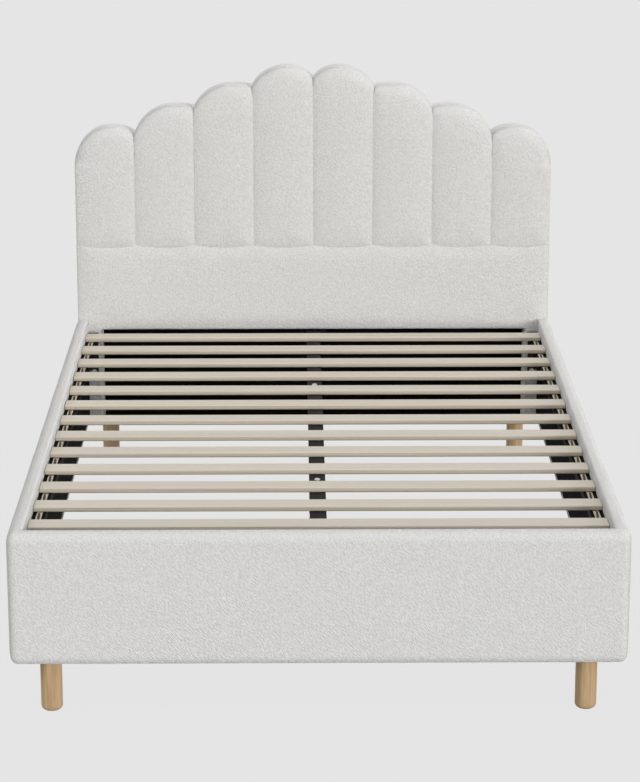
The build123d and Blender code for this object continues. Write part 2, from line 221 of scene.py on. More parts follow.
def shaded(tone, share):
    """A colour made darker or brighter by a share."""
    return tuple(share * part for part in tone)


# Materials


class Number:
    """A value on a surface. Arithmetic on it adds Math nodes."""

    def __init__(self, nodes, socket):
        self.nodes = nodes
        self.socket = socket

    def math(self, operation, *terms):
        return self.nodes.value("Math", dict(enumerate(terms)), operation=operation)

    def __add__(self, other):
        return self.math("ADD", self, other)

    def __rsub__(self, other):
        return self.math("SUBTRACT", other, self)

    def __mul__(self, other):
        return self.math("MULTIPLY", self, other)

    __radd__ = __add__

    def between(self, low, high):
        """0 below low, 1 above high and a smooth step between them."""
        values = {"Value": self, "From Min": low, "From Max": high}
        return self.nodes.value("MapRange", values, "Result", interpolation_type="SMOOTHSTEP")


class Nodes:
    """A node tree that is written as expressions."""

    def __init__(self, tree):
        self.tree = tree

    def add(self, kind, values=None, **settings):
        """A new node with its settings made first and its sockets set or linked."""
        node = self.tree.nodes.new("ShaderNode" + kind)
        for name, setting in settings.items():
            setattr(node, name, setting)
        for key, value in (values or {}).items():
            self.feed(node.inputs[key], value)
        return node

    def feed(self, socket, value):
        if isinstance(value, Number):
            self.tree.links.new(value.socket, socket)
        elif socket.type == "RGBA" and len(value) == 3:
            socket.default_value = (*value, 1.0)
        else:
            socket.default_value = value

    def value(self, kind, values=None, output=0, **settings):
        """One output of a new node."""
        return Number(self, self.add(kind, values, **settings).outputs[output])

    def mix(self, factor, first, second):
        """First colour where factor is 0, second where it is 1."""
        return self.value("Mix", {0: factor, 6: first, 7: second}, 2, data_type="RGBA")

    def place(self, size, turn=(0, 0, 0)):
        """Object coordinates turned and measured in patches of one size, or of a size along each axis."""
        patch = size if isinstance(size, tuple) else (size, size, size)
        at = self.value("TexCoord", output="Object")
        values = {"Vector": at, "Rotation": turn, "Scale": patch}
        return self.value("Mapping", values, vector_type="TEXTURE")

    def noise(self, size, detail=2.0, distortion=0.0):
        """Soft noise in patches of the given size."""
        values = {"Vector": self.place(size), "Scale": 1.0, "Detail": detail, "Distortion": distortion}
        return self.value("TexNoise", values)

    def cells(self, place, scatter=1.0):
        """Distance to the nearest of scattered points, about one to a patch."""
        values = {"Vector": place, "Scale": 1.0, "Randomness": scatter}
        return self.value("TexVoronoi", values, "Distance")

    def bands(self, size, direction):
        """Ribs across the named axis, about one to a patch of the given size."""
        values = {"Vector": self.place(size), "Scale": 0.32}
        return self.value("TexWave", values, bands_direction=direction)


class Finish(Nodes):
    """A material on a Principled shader. Fixed values sit on the shader's own sockets."""

    def __init__(self, name, **fixed):
        self.material = bpy.data.materials.new(name)
        self.material.use_nodes = True
        super().__init__(self.material.node_tree)
        self.shader = self.tree.nodes["Principled BSDF"]
        for socket, value in fixed.items():
            self.shader.inputs[socket.replace("_", " ")].default_value = value

    def done(self, colour, roughness, height, depth):
        """The finished material, with its relief as a bump of the given depth."""
        self.feed(self.shader.inputs["Base Color"], colour)
        self.feed(self.shader.inputs["Roughness"], roughness)
        bump = self.value("Bump", {"Height": height, "Distance": depth})
        self.feed(self.shader.inputs["Normal"], bump)
        return self.material


finishes = {}


def finish(make, *settings):
    """A finish, made once from the bed's colours and shared."""
    key = (make.__name__, *settings)
    if key not in finishes:
        finishes[key] = make(colours(), *settings)
    return finishes[key]


def boucle(c, face, relief, fuzz=1.0):
    """White looped yarn. Its loops lie aslant on the faces that look along the named axis."""
    name = f"boucle_{face}_{1000 * relief:.1f}"
    paint = Finish(name, Sheen_Weight=fuzz, Sheen_Roughness=0.3, Specular_IOR_Level=0.15)
    slant = Vector((1, 0.25, -1)) if face == "y" else Vector((0.8, 0.7, -1))
    turn = slant.to_track_quat("X", "Z").to_euler()
    loops_at = paint.place((0.0105, 0.0023, 0.0023), turn)
    curls_at = paint.place((0.0062, 0.0015, 0.0015), turn)
    bend = paint.value("TexNoise", {"Vector": loops_at, "Scale": 0.8, "Detail": 1.0}, "Color")
    wander = {0: bend, 1: (0.3, 0.3, 0.3)}
    wandered = paint.value("VectorMath", wander, operation="MULTIPLY")
    loops_at = paint.value("VectorMath", {0: loops_at, 1: wandered}, operation="ADD")
    loops = 1 - paint.cells(loops_at, 0.9).between(0.05, 0.95)
    curls = 1 - paint.cells(curls_at, 0.9).between(0.05, 0.95)
    height = loops * 0.70 + curls * 0.30
    drift = paint.noise(0.09)
    tips = (height + drift * 0.04).between(0.20, 0.80)
    # Painted shade: the low places between the loops take the darker colour, as shade
    shade = paint.mix(tips, c.boucle_painted_hollow_shade, c.boucle)
    return paint.done(shade, 0.97 - tips * 0.05, height, relief)


def slat_wood(c):
    """Pale sanded slats, with grain along their length, darker edges and painted shade along the bottom of
    the edges.
    """
    paint = Finish("slat_wood", Specular_IOR_Level=0.5)
    at = paint.value("TexCoord", output="Object")
    high = paint.value("SeparateXYZ", {"Vector": at}, "Z")
    flat = high.between(SLAT_HIGH.z - 0.0024, SLAT_HIGH.z - 0.0002)
    streaks = paint.noise((0.55, 0.005, 0.004), 4.0, 0.6)
    pores = paint.noise((0.06, 0.0011, 0.0011))
    boards = paint.noise((2.5, 0.11, 0.2), 0.0)
    tone = streaks.between(0.30, 0.72) * 0.55 + boards.between(0.3, 0.7) * 0.45
    pale = paint.mix(tone, shaded(c.slat, 0.93), shaded(c.slat, 1.05))
    layers = paint.noise((0.7, 0.02, 0.0026), 2.0, 0.4)
    edge = paint.mix(layers.between(0.35, 0.65), shaded(c.slat_edge, 0.80), c.slat_edge)
    # Painted shade: a darker copy of the edge colour along the bottom of each slat's sides, where shade
    # falls under the slat
    under = high.between(SLAT_LOW.z + 0.0004, SLAT_LOW.z + 0.0034)
    edge = paint.mix(under, shaded(c.slat_edge, 0.45), edge)
    shade = paint.mix(flat, edge, pale)
    shade = paint.mix(pores.between(0.62, 0.80) * 0.35, shade, c.slat_edge)
    return paint.done(shade, 0.50 - tone * 0.1, streaks * 0.5 + pores * 0.5, 0.0004)


def leg_wood(c):
    """Oiled honey wood with upright grain and a few small knots."""
    paint = Finish("leg_wood", Specular_IOR_Level=0.4, Coat_Weight=0.08, Coat_Roughness=0.4)
    rings = paint.noise((0.016, 0.016, 0.30), 3.0, 1.2)
    lines = paint.noise((0.0022, 0.0022, 0.09))
    knots = 1 - paint.cells(paint.place((0.019, 0.019, 0.034))).between(0.05, 0.17)
    rare = paint.noise((0.030, 0.030, 0.042), 0.0).between(0.56, 0.62)
    grain = rings.between(0.36, 0.66) * 0.6 + lines.between(0.3, 0.7) * 0.4
    shade = paint.mix(grain, c.leg_dark, c.leg)
    shade = paint.mix(0.35, shade, c.leg)
    shade = paint.mix(knots * rare * 0.85, shade, c.knot)
    return paint.done(shade, 0.48 + lines * 0.12, lines, 0.0003)


def frame_timber(c):
    """Raw planed softwood inside the rails and the headboard."""
    paint = Finish("frame_timber", Specular_IOR_Level=0.3)
    grain = paint.noise((0.35, 0.009, 0.009), 4.0, 1.0)
    fibres = paint.noise((0.05, 0.0012, 0.0012))
    tone = grain.between(0.3, 0.7) * 0.7 + fibres * 0.3
    shade = paint.mix(tone, shaded(c.timber, 0.68), c.timber)
    return paint.done(shade, 0.78 - fibres * 0.1, fibres, 0.0004)


def black_timber(c):
    """Stained batten with a trace of its grain."""
    paint = Finish("black_timber", Specular_IOR_Level=0.05)
    grain = paint.noise((0.006, 0.22, 0.006), 4.0, 0.8)
    shade = paint.mix(grain.between(0.35, 0.7), shaded(c.ledge, 0.55), c.ledge)
    return paint.done(shade, 0.55 + grain * 0.2, grain, 0.0005)


def webbing(c):
    """Cream webbing with a woven rib, with painted shade down in its folds."""
    paint = Finish("strap_webbing", Specular_IOR_Level=0.2, Sheen_Weight=0.1)
    ribs = paint.bands(0.0016, "Y")
    cords = paint.bands(0.0026, "X")
    weave = ribs * 0.6 + cords * 0.4
    soil = paint.noise(0.05)
    shade = paint.mix(weave.between(0.1, 0.8), shaded(c.webbing, 0.72), c.webbing)
    shade = paint.mix(soil.between(0.5, 0.8) * 0.25, shade, c.soil)
    # Painted shade: the fold mask darkens the strap where its fold lies in shade
    fold = paint.value("Attribute", output="Fac", attribute_name="fold")
    shade = paint.mix(fold.between(0.12, 0.38), shade, c.webbing_painted_fold_shade)
    return paint.done(shade, 0.9 - weave * 0.08, weave, 0.0006)


def lining_cloth(c):
    """Black spun-bonded lining with its pressed dots."""
    paint = Finish("black_lining", Specular_IOR_Level=0.02)
    dots = paint.cells(paint.place(0.0024))
    fibres = paint.noise(0.0012, 3.0)
    drift = paint.noise(0.12)
    tone = fibres.between(0.4, 0.7) * 0.5 + drift.between(0.35, 0.65) * 0.5
    shade = paint.mix(tone, shaded(c.lining, 0.5), shaded(c.lining, 1.6))
    return paint.done(shade, 0.85 - fibres * 0.1, dots * 0.6 + fibres * 0.4, 0.0005)


def back_cloth(c):
    """Plain woven cloth over the headboard's back."""
    paint = Finish("back_cloth", Specular_IOR_Level=0.2, Sheen_Weight=0.08)
    warp = paint.bands(0.0016, "X")
    weft = paint.bands(0.0016, "Z")
    slubs = paint.noise((0.05, 0.002, 0.0016))
    weave = warp * 0.4 + weft * 0.4 + slubs * 0.2
    shade = paint.mix(weave.between(0.15, 0.8), shaded(c.back, 0.82), c.back)
    return paint.done(shade, 0.92 - weave * 0.06, weave, 0.0005)


def black_steel(c):
    """Black powder coat with its fine orange peel."""
    paint = Finish("black_steel", Specular_IOR_Level=0.2)
    peel = paint.noise(0.0016)
    dust = paint.noise(0.07, 3.0)
    shade = paint.mix(dust.between(0.45, 0.75) * 0.5, c.steel, shaded(c.steel, 2.2))
    return paint.done(shade, 0.60 + dust * 0.18, peel, 0.0002)


def bronze_steel(c):
    """Dark bronze coat with paler rubbed patches."""
    paint = Finish("bronze_steel", Metallic=0.55, Specular_IOR_Level=0.4)
    rub = paint.noise(0.02, 3.0)
    peel = paint.noise(0.0014, 1.0)
    shade = paint.mix(rub.between(0.5, 0.75) * 0.5, c.bronze, shaded(c.bronze, 2.4))
    return paint.done(shade, 0.42 + rub * 0.2, peel, 0.0002)


def zinc_steel(c):
    """Bright zinc plate with faint clouding."""
    paint = Finish("zinc_steel", Metallic=0.85)
    cloud = paint.noise(0.004, 3.0)
    brushed = paint.noise((0.006, 0.0007, 0.0007))
    shade = paint.mix(cloud.between(0.35, 0.65), shaded(c.zinc, 0.8), c.zinc)
    return paint.done(shade, 0.30 + cloud * 0.2, brushed, 0.0001)


def black_plastic(c):
    """Moulded feet with a fine texture."""
    paint = Finish("black_plastic", Specular_IOR_Level=0.4)
    grain = paint.noise(0.0009)
    scuff = paint.noise(0.012, 3.0)
    shade = paint.mix(scuff.between(0.5, 0.8) * 0.6, c.plastic, shaded(c.plastic, 2.5))
    return paint.done(shade, 0.5 + scuff * 0.2, grain, 0.0002)


# Shapes


def steps(start, end, cell, roll_start=0.0, roll_end=0.0):
    """Places along a side, close together over the rolls at its ends and a cell apart between them."""
    turns = [1 - math.cos(math.pi / 2 * n / ROLL_STEPS) for n in range(ROLL_STEPS)]
    first = [start + roll_start * turn for turn in turns] if roll_start else []
    last = [end - roll_end * turn for turn in reversed(turns)] if roll_end else []
    low, high = start + roll_start, end - roll_end
    count = max(1, round((high - low) / cell))
    return first + [low + (high - low) * n / count for n in range(count + 1)] + last


def cloth_of_cells(columns, rows, place):
    """A sheet of quads with each corner where place(column, row) puts it."""
    bm = bmesh.new()
    across = len(columns) - 1
    along = len(rows) - 1
    bmesh.ops.create_grid(bm, x_segments=across, y_segments=along, size=1.0)
    for vert in bm.verts:
        i = round((vert.co.x + 1) / 2 * across)
        j = round((vert.co.y + 1) / 2 * along)
        vert.co = place(columns[i], rows[j])
    return bm


def second_side(bm):
    """Doubles a sheet into a closed shell and returns the corners of its new side."""
    made = bmesh.ops.extrude_face_region(bm, geom=list(bm.faces))
    return [item for item in made["geom"] if isinstance(item, bmesh.types.BMVert)]


def close_back(bm, back_y):
    """Gives a front sheet a flat back and closes the shell."""
    for vert in second_side(bm):
        vert.co.y = back_y
    weld(bm)
    hold_corners(bm)


def weld(bm):
    """Merges doubles and turns every face outwards."""
    bmesh.ops.remove_doubles(bm, verts=list(bm.verts), dist=1e-5)
    bmesh.ops.recalc_face_normals(bm, faces=list(bm.faces))


def hold_corners(bm):
    """Keeps a shell's sharp edges sharp when it is subdivided, so that sewn pieces meet without a gap."""
    edge_on, face_on = 0.3, 0.7
    crease = bm.edges.layers.float.new("crease_edge")
    for edge in bm.edges:
        facing = sorted(abs(face.normal.y) for face in edge.link_faces)
        if facing[0] < edge_on and facing[-1] > face_on:
            edge[crease] = 1.0
            edge.smooth = False


def linked(name, data):
    """A new object in the scene."""
    made = bpy.data.objects.new(name, data)
    bpy.context.scene.collection.objects.link(made)
    return made


def mesh_object(bm, name, material):
    """A new object with the mesh of bm and one material."""
    mesh = bpy.data.meshes.new(name)
    bm.to_mesh(mesh)
    bm.free()
    mesh.materials.append(material)
    return linked(name, mesh)


def piece(bm, name, material, body="bed_frame", replaces=()):
    """Makes a mesh object of bm that rides on a body and stands for CAD nodes."""
    for face in bm.faces:
        face.smooth = True
    made = mesh_object(bm, name, material)
    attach(made, body)
    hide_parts(*replaces)
    return made


def add_pile(made, levels):
    """Raises the lumpy pile of the loops on a boucle piece, after the given subdivisions."""
    s = sizes()
    if levels:
        finer = made.modifiers.new("finer", "SUBSURF")
        finer.levels = levels
        finer.render_levels = levels
    lumps = bpy.data.textures.get("pile_lumps") or bpy.data.textures.new("pile_lumps", "CLOUDS")
    lumps.noise_scale = s.pile_width
    lumps.noise_depth = 1
    pile = made.modifiers.new("pile", "DISPLACE")
    pile.texture = lumps
    pile.texture_coords = "LOCAL"
    pile.strength = s.pile
    pile.mid_level = 0.5


def dip(distance, roll, depth):
    """How far a rolled edge has fallen back at a distance from its outline."""
    if distance >= roll:
        return 0.0
    rest = 1 - max(distance, 0.0) / roll
    return depth * (1 - math.sqrt(1 - rest * rest))


def tuck(distance, roll, depth):
    """How far a cloth drawn into a seam has fallen back at a distance from the seam."""
    rest = max(0.0, 1 - max(distance, 0.0) / roll)
    return depth * rest**2


def joined(dips, most):
    """One depth from the dips of several edges that meet softly."""
    return min(most, sum(d**3 for d in dips) ** (1 / 3))


def channel_width():
    return PAD_HIGH.x / CHANNELS


def seam_line(x):
    """Height of the level seam, which rises where two channels meet."""
    s = sizes()
    rise = abs(math.cos(math.pi * x / channel_width())) ** 4
    mean_rise = 0.35
    return PAD_HIGH.z + s.seam_wave * (rise - mean_rise)


def scallop(k, x):
    """Crown of the scallop over channel k, counted from the middle, and the radius of its arc at x."""
    s = sizes()
    crown = Vector(((k + s.crown_places[k]) * channel_width(), PAD_HIGH.z + s.scallop_crowns[k]))
    end = k + 1 if x > crown.x else k
    run = end * channel_width() - crown.x
    drop = s.scallop_crowns[k] - s.scallop_valleys[end]
    return crown, (run**2 + drop**2) / (2 * drop)


def scallop_top(k, x):
    """Height of the scallop over channel k, drawn in a little at its seams."""
    s = sizes()
    crown, radius = scallop(k, x)
    near = x / channel_width() - k
    to_seam = channel_width() * (near if k == CHANNELS - 1 else min(near, 1 - near))
    fallen = tuck(to_seam, s.notch_width, s.notch)
    return crown.y - radius + math.sqrt(max(0.0, radius**2 - (x - crown.x) ** 2)) - fallen


def leaned(x, z):
    """Where a point of the scalloped part lies once the seams beside the middle pair lean outwards."""
    s = sizes()
    start = PAD_HIGH.z + s.scallop_valleys[1] - s.seam_bend
    bend = min(1.0, max(0.0, (z - start) / s.seam_bend)) ** 2
    near = max(0.0, 1 - abs(abs(x) / channel_width() - 1))
    return math.copysign(abs(x) + s.seam_lean * bend * near, x)


def headboard_top(x):
    """Height of the scalloped outline."""
    return scallop_top(min(CHANNELS - 1, int(abs(x) / channel_width())), abs(x))


def make_channel(k, side):
    """Padded channel k on one side of the middle."""
    s = sizes()
    x0 = k * channel_width()
    x1 = x0 + channel_width()
    outer = k == CHANNELS - 1
    high = scallop_top(k, (x0 + x1) / 2) - PAD_HIGH.z
    columns = steps(x0, x1, s.cell, s.channel_roll, s.channel_roll)
    rows = [row / high for row in steps(0.0, high, s.cell, s.channel_foot_roll, s.scallop_roll)]

    def front(x, share):
        low = seam_line(x)
        z = low + share * (scallop_top(k, x) - low)
        crown, radius = scallop(k, x)
        above = z - crown.y + radius
        rim = radius - math.hypot(x - crown.x, max(above, 0.0)) if above > 0 else 1.0
        to_seam = min(x - x0, s.channel_roll if outer else x1 - x) / s.channel_roll
        rim += max(0.0, 1 - to_seam) * (scallop_top(k, x) - z - rim)
        dips = (
            tuck(x - x0, s.channel_roll, s.groove),
            tuck(x1 - x, s.channel_roll, s.groove),
            dip(x1 - x, s.side_roll, s.edge_depth) if outer else 0.0,
            tuck(z - low, s.channel_foot_roll, s.seam_groove),
            dip(rim, s.scallop_roll, s.edge_depth),
        )
        lean = tuck(rim, s.crown_lean, s.crown_fall)
        return Vector((leaned(side * x, z), PAD_LOW.y + lean + joined(dips, s.edge_depth), z))

    bm = cloth_of_cells(columns, rows, front)
    close_back(bm, PAD_HIGH.y)
    number = CHANNELS + 1 + k if side > 0 else CHANNELS - k
    name = f"headboard_channel_{number}"
    return piece(bm, name + "_cover", finish(boucle, "y", s.pad_relief), replaces=[name])


def make_lower_cover():
    """Plain panel under the channels with the two posts below it, in one cloth."""
    s = sizes()
    depth = PAD_HIGH.y - PAD_LOW.y
    half = PAD_HIGH.x
    inner = POST_LOW.x
    hem = PAD_LOW.z
    low = POST_LOW.z
    right = steps(inner, half, s.cell, s.hem_roll, s.side_roll)
    columns = [-x for x in reversed(right)] + steps(-inner, inner, s.cell)[1:-1] + right
    rows = steps(low, hem, s.cell, s.hem_roll)
    rows += steps(hem, PAD_HIGH.z, s.cell, s.hem_roll, s.panel_roll)[1:]

    def front(x, row):
        top = seam_line(x)
        z = row if row <= hem else hem + (row - hem) / (PAD_HIGH.z - hem) * (top - hem)
        out = abs(x) - inner
        up = z - hem
        notch = math.hypot(max(out, 0.0), max(up, 0.0))
        dips = (
            tuck(half - abs(x), s.channel_roll, s.groove),
            dip(half - abs(x), s.side_roll, s.edge_depth),
            dip(top - z, s.panel_roll, s.panel_lip),
            dip(notch, s.hem_roll, depth),
            dip(z - low, s.hem_roll, depth / 2),
        )
        return Vector((x, PAD_LOW.y + joined(dips, depth), z))

    bm = cloth_of_cells(columns, rows, front)
    gone = []
    for face in bm.faces:
        middle = face.calc_center_median()
        if abs(middle.x) < inner and middle.z < hem:
            gone.append(face)
    bmesh.ops.delete(bm, geom=gone, context="FACES")
    close_back(bm, PAD_HIGH.y)
    nodes = ["headboard_lower_pad", "headboard_post_left", "headboard_post_right"]
    return piece(bm, "headboard_lower_cover", finish(boucle, "y", s.pad_relief), replaces=nodes)


def held_down(made):
    """Corners of a pad that its seams and what lies behind it hold in place."""
    s = sizes()
    sewn_y = PAD_LOW.y + s.groove * 0.4
    held = []
    for vert in made.data.vertices:
        behind = vert.co.y > sewn_y
        bolted = vert.co.z < RAIL_HIGH.z + RAIL_ROOM and abs(vert.co.x) > POST_LOW.x - RAIL_ROOM
        if behind or bolted:
            held.append(vert.index)
    return held


def stuff(pads):
    """Fills the pads by a cloth simulation under pressure, with a cap on how far a point may move."""
    s = sizes()
    scene = bpy.context.scene
    scene.frame_set(1)
    for pad in pads:
        sewn = pad.vertex_groups.new(name="sewn")
        sewn.add(held_down(pad), 1.0, "REPLACE")
        cloth = pad.modifiers.new("stuffing", "CLOTH")
        cloth.settings.vertex_group_mass = "sewn"
        cloth.settings.use_pressure = True
        cloth.settings.uniform_pressure_force = 4.0
        cloth.settings.effector_weights.gravity = 0.0
        cloth.settings.tension_stiffness = 25.0
        cloth.settings.compression_stiffness = 25.0
        cloth.settings.bending_stiffness = 4.0
        cloth.settings.quality = 4
        cloth.point_cache.frame_start = 1
        cloth.point_cache.frame_end = s.sim_frames
    for number in range(1, s.sim_frames + 1):
        scene.frame_set(number)
    graph = bpy.context.evaluated_depsgraph_get()
    for pad in pads:
        filled = [vert.co.copy() for vert in pad.evaluated_get(graph).data.vertices]
        pad.modifiers.remove(pad.modifiers["stuffing"])
        pad.vertex_groups.remove(pad.vertex_groups["sewn"])
        for vert, place in zip(pad.data.vertices, filled):
            move = place - vert.co
            share = move.length / s.swell
            vert.co += move * (math.tanh(share) / share if share > 1e-6 else 1.0)
    scene.frame_set(1)


def rounded_outline(corners, cell):
    """Points of a closed outline from corners with their own radii, cut into cells."""
    bm = bmesh.new()
    verts = [bm.verts.new(place) for place, _ in corners]
    bm.faces.new(verts)
    for vert, (_, radius) in zip(verts, corners):
        if radius:
            arc = {"segments": ROLL_STEPS, "profile": 0.5, "material": -1}
            bmesh.ops.bevel(bm, geom=[vert], offset=radius, affect="VERTICES", **arc)
    for edge in list(bm.edges):
        cuts = round(edge.calc_length() / cell) - 1
        if cuts > 0:
            bmesh.ops.subdivide_edges(bm, edges=[edge], cuts=cuts)
    bm.faces.ensure_lookup_table()
    points = [vert.co.copy() for vert in bm.faces[0].verts]
    bm.free()
    return points


def swept(corners, cell, along):
    """A closed shell that carries a rounded outline along a straight line."""
    points = rounded_outline(corners, cell)
    direction = along.normalized()

    def carried(point, run):
        return point + direction * run

    bm = cloth_of_cells([*points, points[0]], steps(0.0, along.length, cell), carried)
    bmesh.ops.remove_doubles(bm, verts=list(bm.verts), dist=1e-5)
    bmesh.ops.holes_fill(bm, edges=[edge for edge in bm.edges if edge.is_boundary], sides=0)
    bmesh.ops.recalc_face_normals(bm, faces=list(bm.faces))
    return bm


def rail_corners(outer, inner, sunk, heights, lining_heights, upper_roll, under_roll):
    """Section of a rail's cover, as places across the rail and up, with a recess for the lining."""
    s = sizes()
    low, high = heights
    lining_low, lining_high = lining_heights
    return [
        (outer, low, s.rail_roll),
        (outer, high, s.rail_roll),
        (inner, high, upper_roll),
        (inner, lining_high + s.recess_lip, 0.0),
        (sunk, lining_high, 0.0),
        (sunk, lining_low, 0.0),
        (inner, lining_low - s.recess_lip, 0.0),
        (inner, low, under_roll),
    ]


def foam_waver(place):
    """How far the uneven foam of a rail pushes its cloth out at a place."""
    s = sizes()
    return s.foam_waver * noise.noise(place * FOAM_LUMPS)


def make_side_cover(side):
    """Padded cover of a side rail, with a shallow recess for its lining."""
    s = sizes()
    inner, outer = RAIL_LOW.x, RAIL_HIGH.x
    sunk = RAIL_LINING_HIGH.x - s.recess_gap
    heights = (RAIL_LOW.z, RAIL_HIGH.z)
    lining = (RAIL_LINING_LOW.z, RAIL_LINING_HIGH.z)
    section = rail_corners(outer, inner, sunk, heights, lining, s.rail_inner_roll, s.rail_under_roll)
    corners = [(Vector((x, RAIL_LOW.y, z)), radius) for x, z, radius in section]
    bm = swept(corners, s.rail_cell, Vector((0, RAIL_HIGH.y - RAIL_LOW.y, 0)))
    for vert in bm.verts:
        if vert.co.x > inner + BOARD_EDGE:
            vert.co.x += foam_waver(vert.co)
        vert.co.x *= side
    weld(bm)
    name = "side_rail_cover_" + ("right" if side > 0 else "left")
    return piece(bm, name + "_cloth", finish(boucle, "x", s.rail_relief), replaces=[name])


def make_foot_cover():
    """Padded cover of the foot rail, rolled at both ends."""
    s = sizes()
    front, back = FOOT_LOW.y, FOOT_HIGH.y
    low, high = FOOT_LOW.z, FOOT_HIGH.z
    half = FOOT_HIGH.x
    sunk = FOOT_LINING_LOW.y + s.recess_gap
    lining = (FOOT_LINING_LOW.z, FOOT_LINING_HIGH.z)
    section = rail_corners(front, back, sunk, (low, high), lining, s.foot_inner_roll, s.foot_inner_roll)
    corners = [(Vector((-half, y, z)), radius) for y, z, radius in section]
    bm = swept(corners, s.rail_cell, Vector((2 * half, 0, 0)))
    middle = (low + high) / 2
    for vert in bm.verts:
        inset = dip(half - abs(vert.co.x), s.rail_roll, s.rail_roll)
        vert.co.y = back + (vert.co.y - back) * (1 - inset / (back - front))
        vert.co.z = middle + (vert.co.z - middle) * (1 - 2 * inset / (high - low))
        if vert.co.y < back - BOARD_EDGE:
            vert.co.y += foam_waver(vert.co)
    loops = finish(boucle, "y", s.pad_relief)
    return piece(bm, "foot_rail_cover_cloth", loops, replaces=["foot_rail_cover"])


def make_edge_strip():
    """Boucle strip round the headboard's edge, from the pads to the back."""
    s = sizes()
    half = STRIP_HIGH.x
    shoulder = headboard_top(half)
    side = [(half, z) for z in steps(STRIP_LOW.z, shoulder, s.cell)[:-1]]
    top = []
    for k in reversed(range(CHANNELS)):
        xs = steps(k * channel_width(), (k + 1) * channel_width(), s.cell)
        top += [(x, headboard_top(min(x, half))) for x in reversed(xs)][:-1]
    right = side + top
    path = [(-x, z) for x, z in right] + [(0.0, headboard_top(0.0))] + list(reversed(right))
    rows = steps(STRIP_LOW.y, STRIP_HIGH.y, s.cell)

    def wrap(point, y):
        return Vector((leaned(*point), y, point[1]))

    bm = cloth_of_cells(path, rows, wrap)
    bmesh.ops.recalc_face_normals(bm, faces=list(bm.faces))
    bm.normal_update()
    if sum(face.normal.z * face.calc_area() for face in bm.faces) < 0:
        bmesh.ops.reverse_faces(bm, faces=list(bm.faces))
    bmesh.ops.solidify(bm, geom=list(bm.faces), thickness=s.strip_thickness)
    loops = finish(boucle, "x", s.strip_relief, STRIP_FUZZ)
    made = piece(bm, "headboard_edge_cloth", loops, replaces=["headboard_edge_strip"])
    run = sum(math.dist(a, b) for a, b in zip(path, path[1:]))
    return made


def make_back_cloth():
    """Cloth over the back, with a turned edge and a slight hollow between the stiles."""
    s = sizes()
    half = BACK_HIGH.x
    edge = STRIP_HIGH.x - BACK_HIGH.x
    columns = [-half]
    for k in range(-CHANNELS, CHANNELS):
        start = max(-half, k * channel_width())
        end = min(half, (k + 1) * channel_width())
        columns += steps(start, end, BACK_CELL)[1:]
    rows = steps(0.0, 1.0, 1 / BACK_ROWS)

    def drawn(x, share):
        top = headboard_top(x) - edge
        z = BACK_LOW.z + share * (top - BACK_LOW.z)
        near = min(half - abs(x), z - BACK_LOW.z, top - z)
        y = BACK_HIGH.y - s.back_sunk
        if near > s.hem_width:
            sunk = min(1.0, max(0.0, near - s.back_hollow_start) / s.back_hollow_run)
            ripple = noise.noise(Vector((x * 9, 3.0, z * 5)))
            y += s.back_ripple * ripple - s.back_hollow * sunk - s.hem_thickness
        return Vector((leaned(x, z), y, z))

    bm = cloth_of_cells(columns, rows, drawn)
    close_back(bm, BACK_LOW.y + s.back_gap)
    cloth = finish(back_cloth)
    made = piece(bm, "headboard_back_cloth", cloth, replaces=["headboard_back_cover"])
    return made


def make_lining(name, normal):
    """Black lining stretched over the inside of a piece, pulled in a little between its staples."""
    s = sizes()
    low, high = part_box(name)
    flat_axis = 0 if abs(normal.x) > 0.5 else 1
    along_axis = 1 - flat_axis
    rows = steps(low.z + s.lining_cut, high.z - s.lining_cut, LINING_ROW)
    columns = steps(low[along_axis], high[along_axis], LINING_CELL)
    face = high[flat_axis] if normal[flat_axis] > 0 else low[flat_axis]

    def stretched(run, z):
        near = min(z - low.z, high.z - z)
        between = abs(math.sin(math.pi * run / s.staple_pitch))
        pull = s.staple_pull * between * max(0.0, 1 - near / s.staple_reach)
        ripple = s.lining_ripple * noise.noise(Vector((run * 4.0, 1.7, z * 14.0)))
        place = Vector((0, 0, z))
        place[along_axis] = run
        place[flat_axis] = face
        return place - normal * (s.lining_sunk + pull + ripple)

    bm = cloth_of_cells(columns, rows, stretched)
    for vert in second_side(bm):
        vert.co -= normal * s.lining_thickness
    weld(bm)
    cloth = piece(bm, name + "_cloth", finish(lining_cloth), replaces=[name])
    return cloth


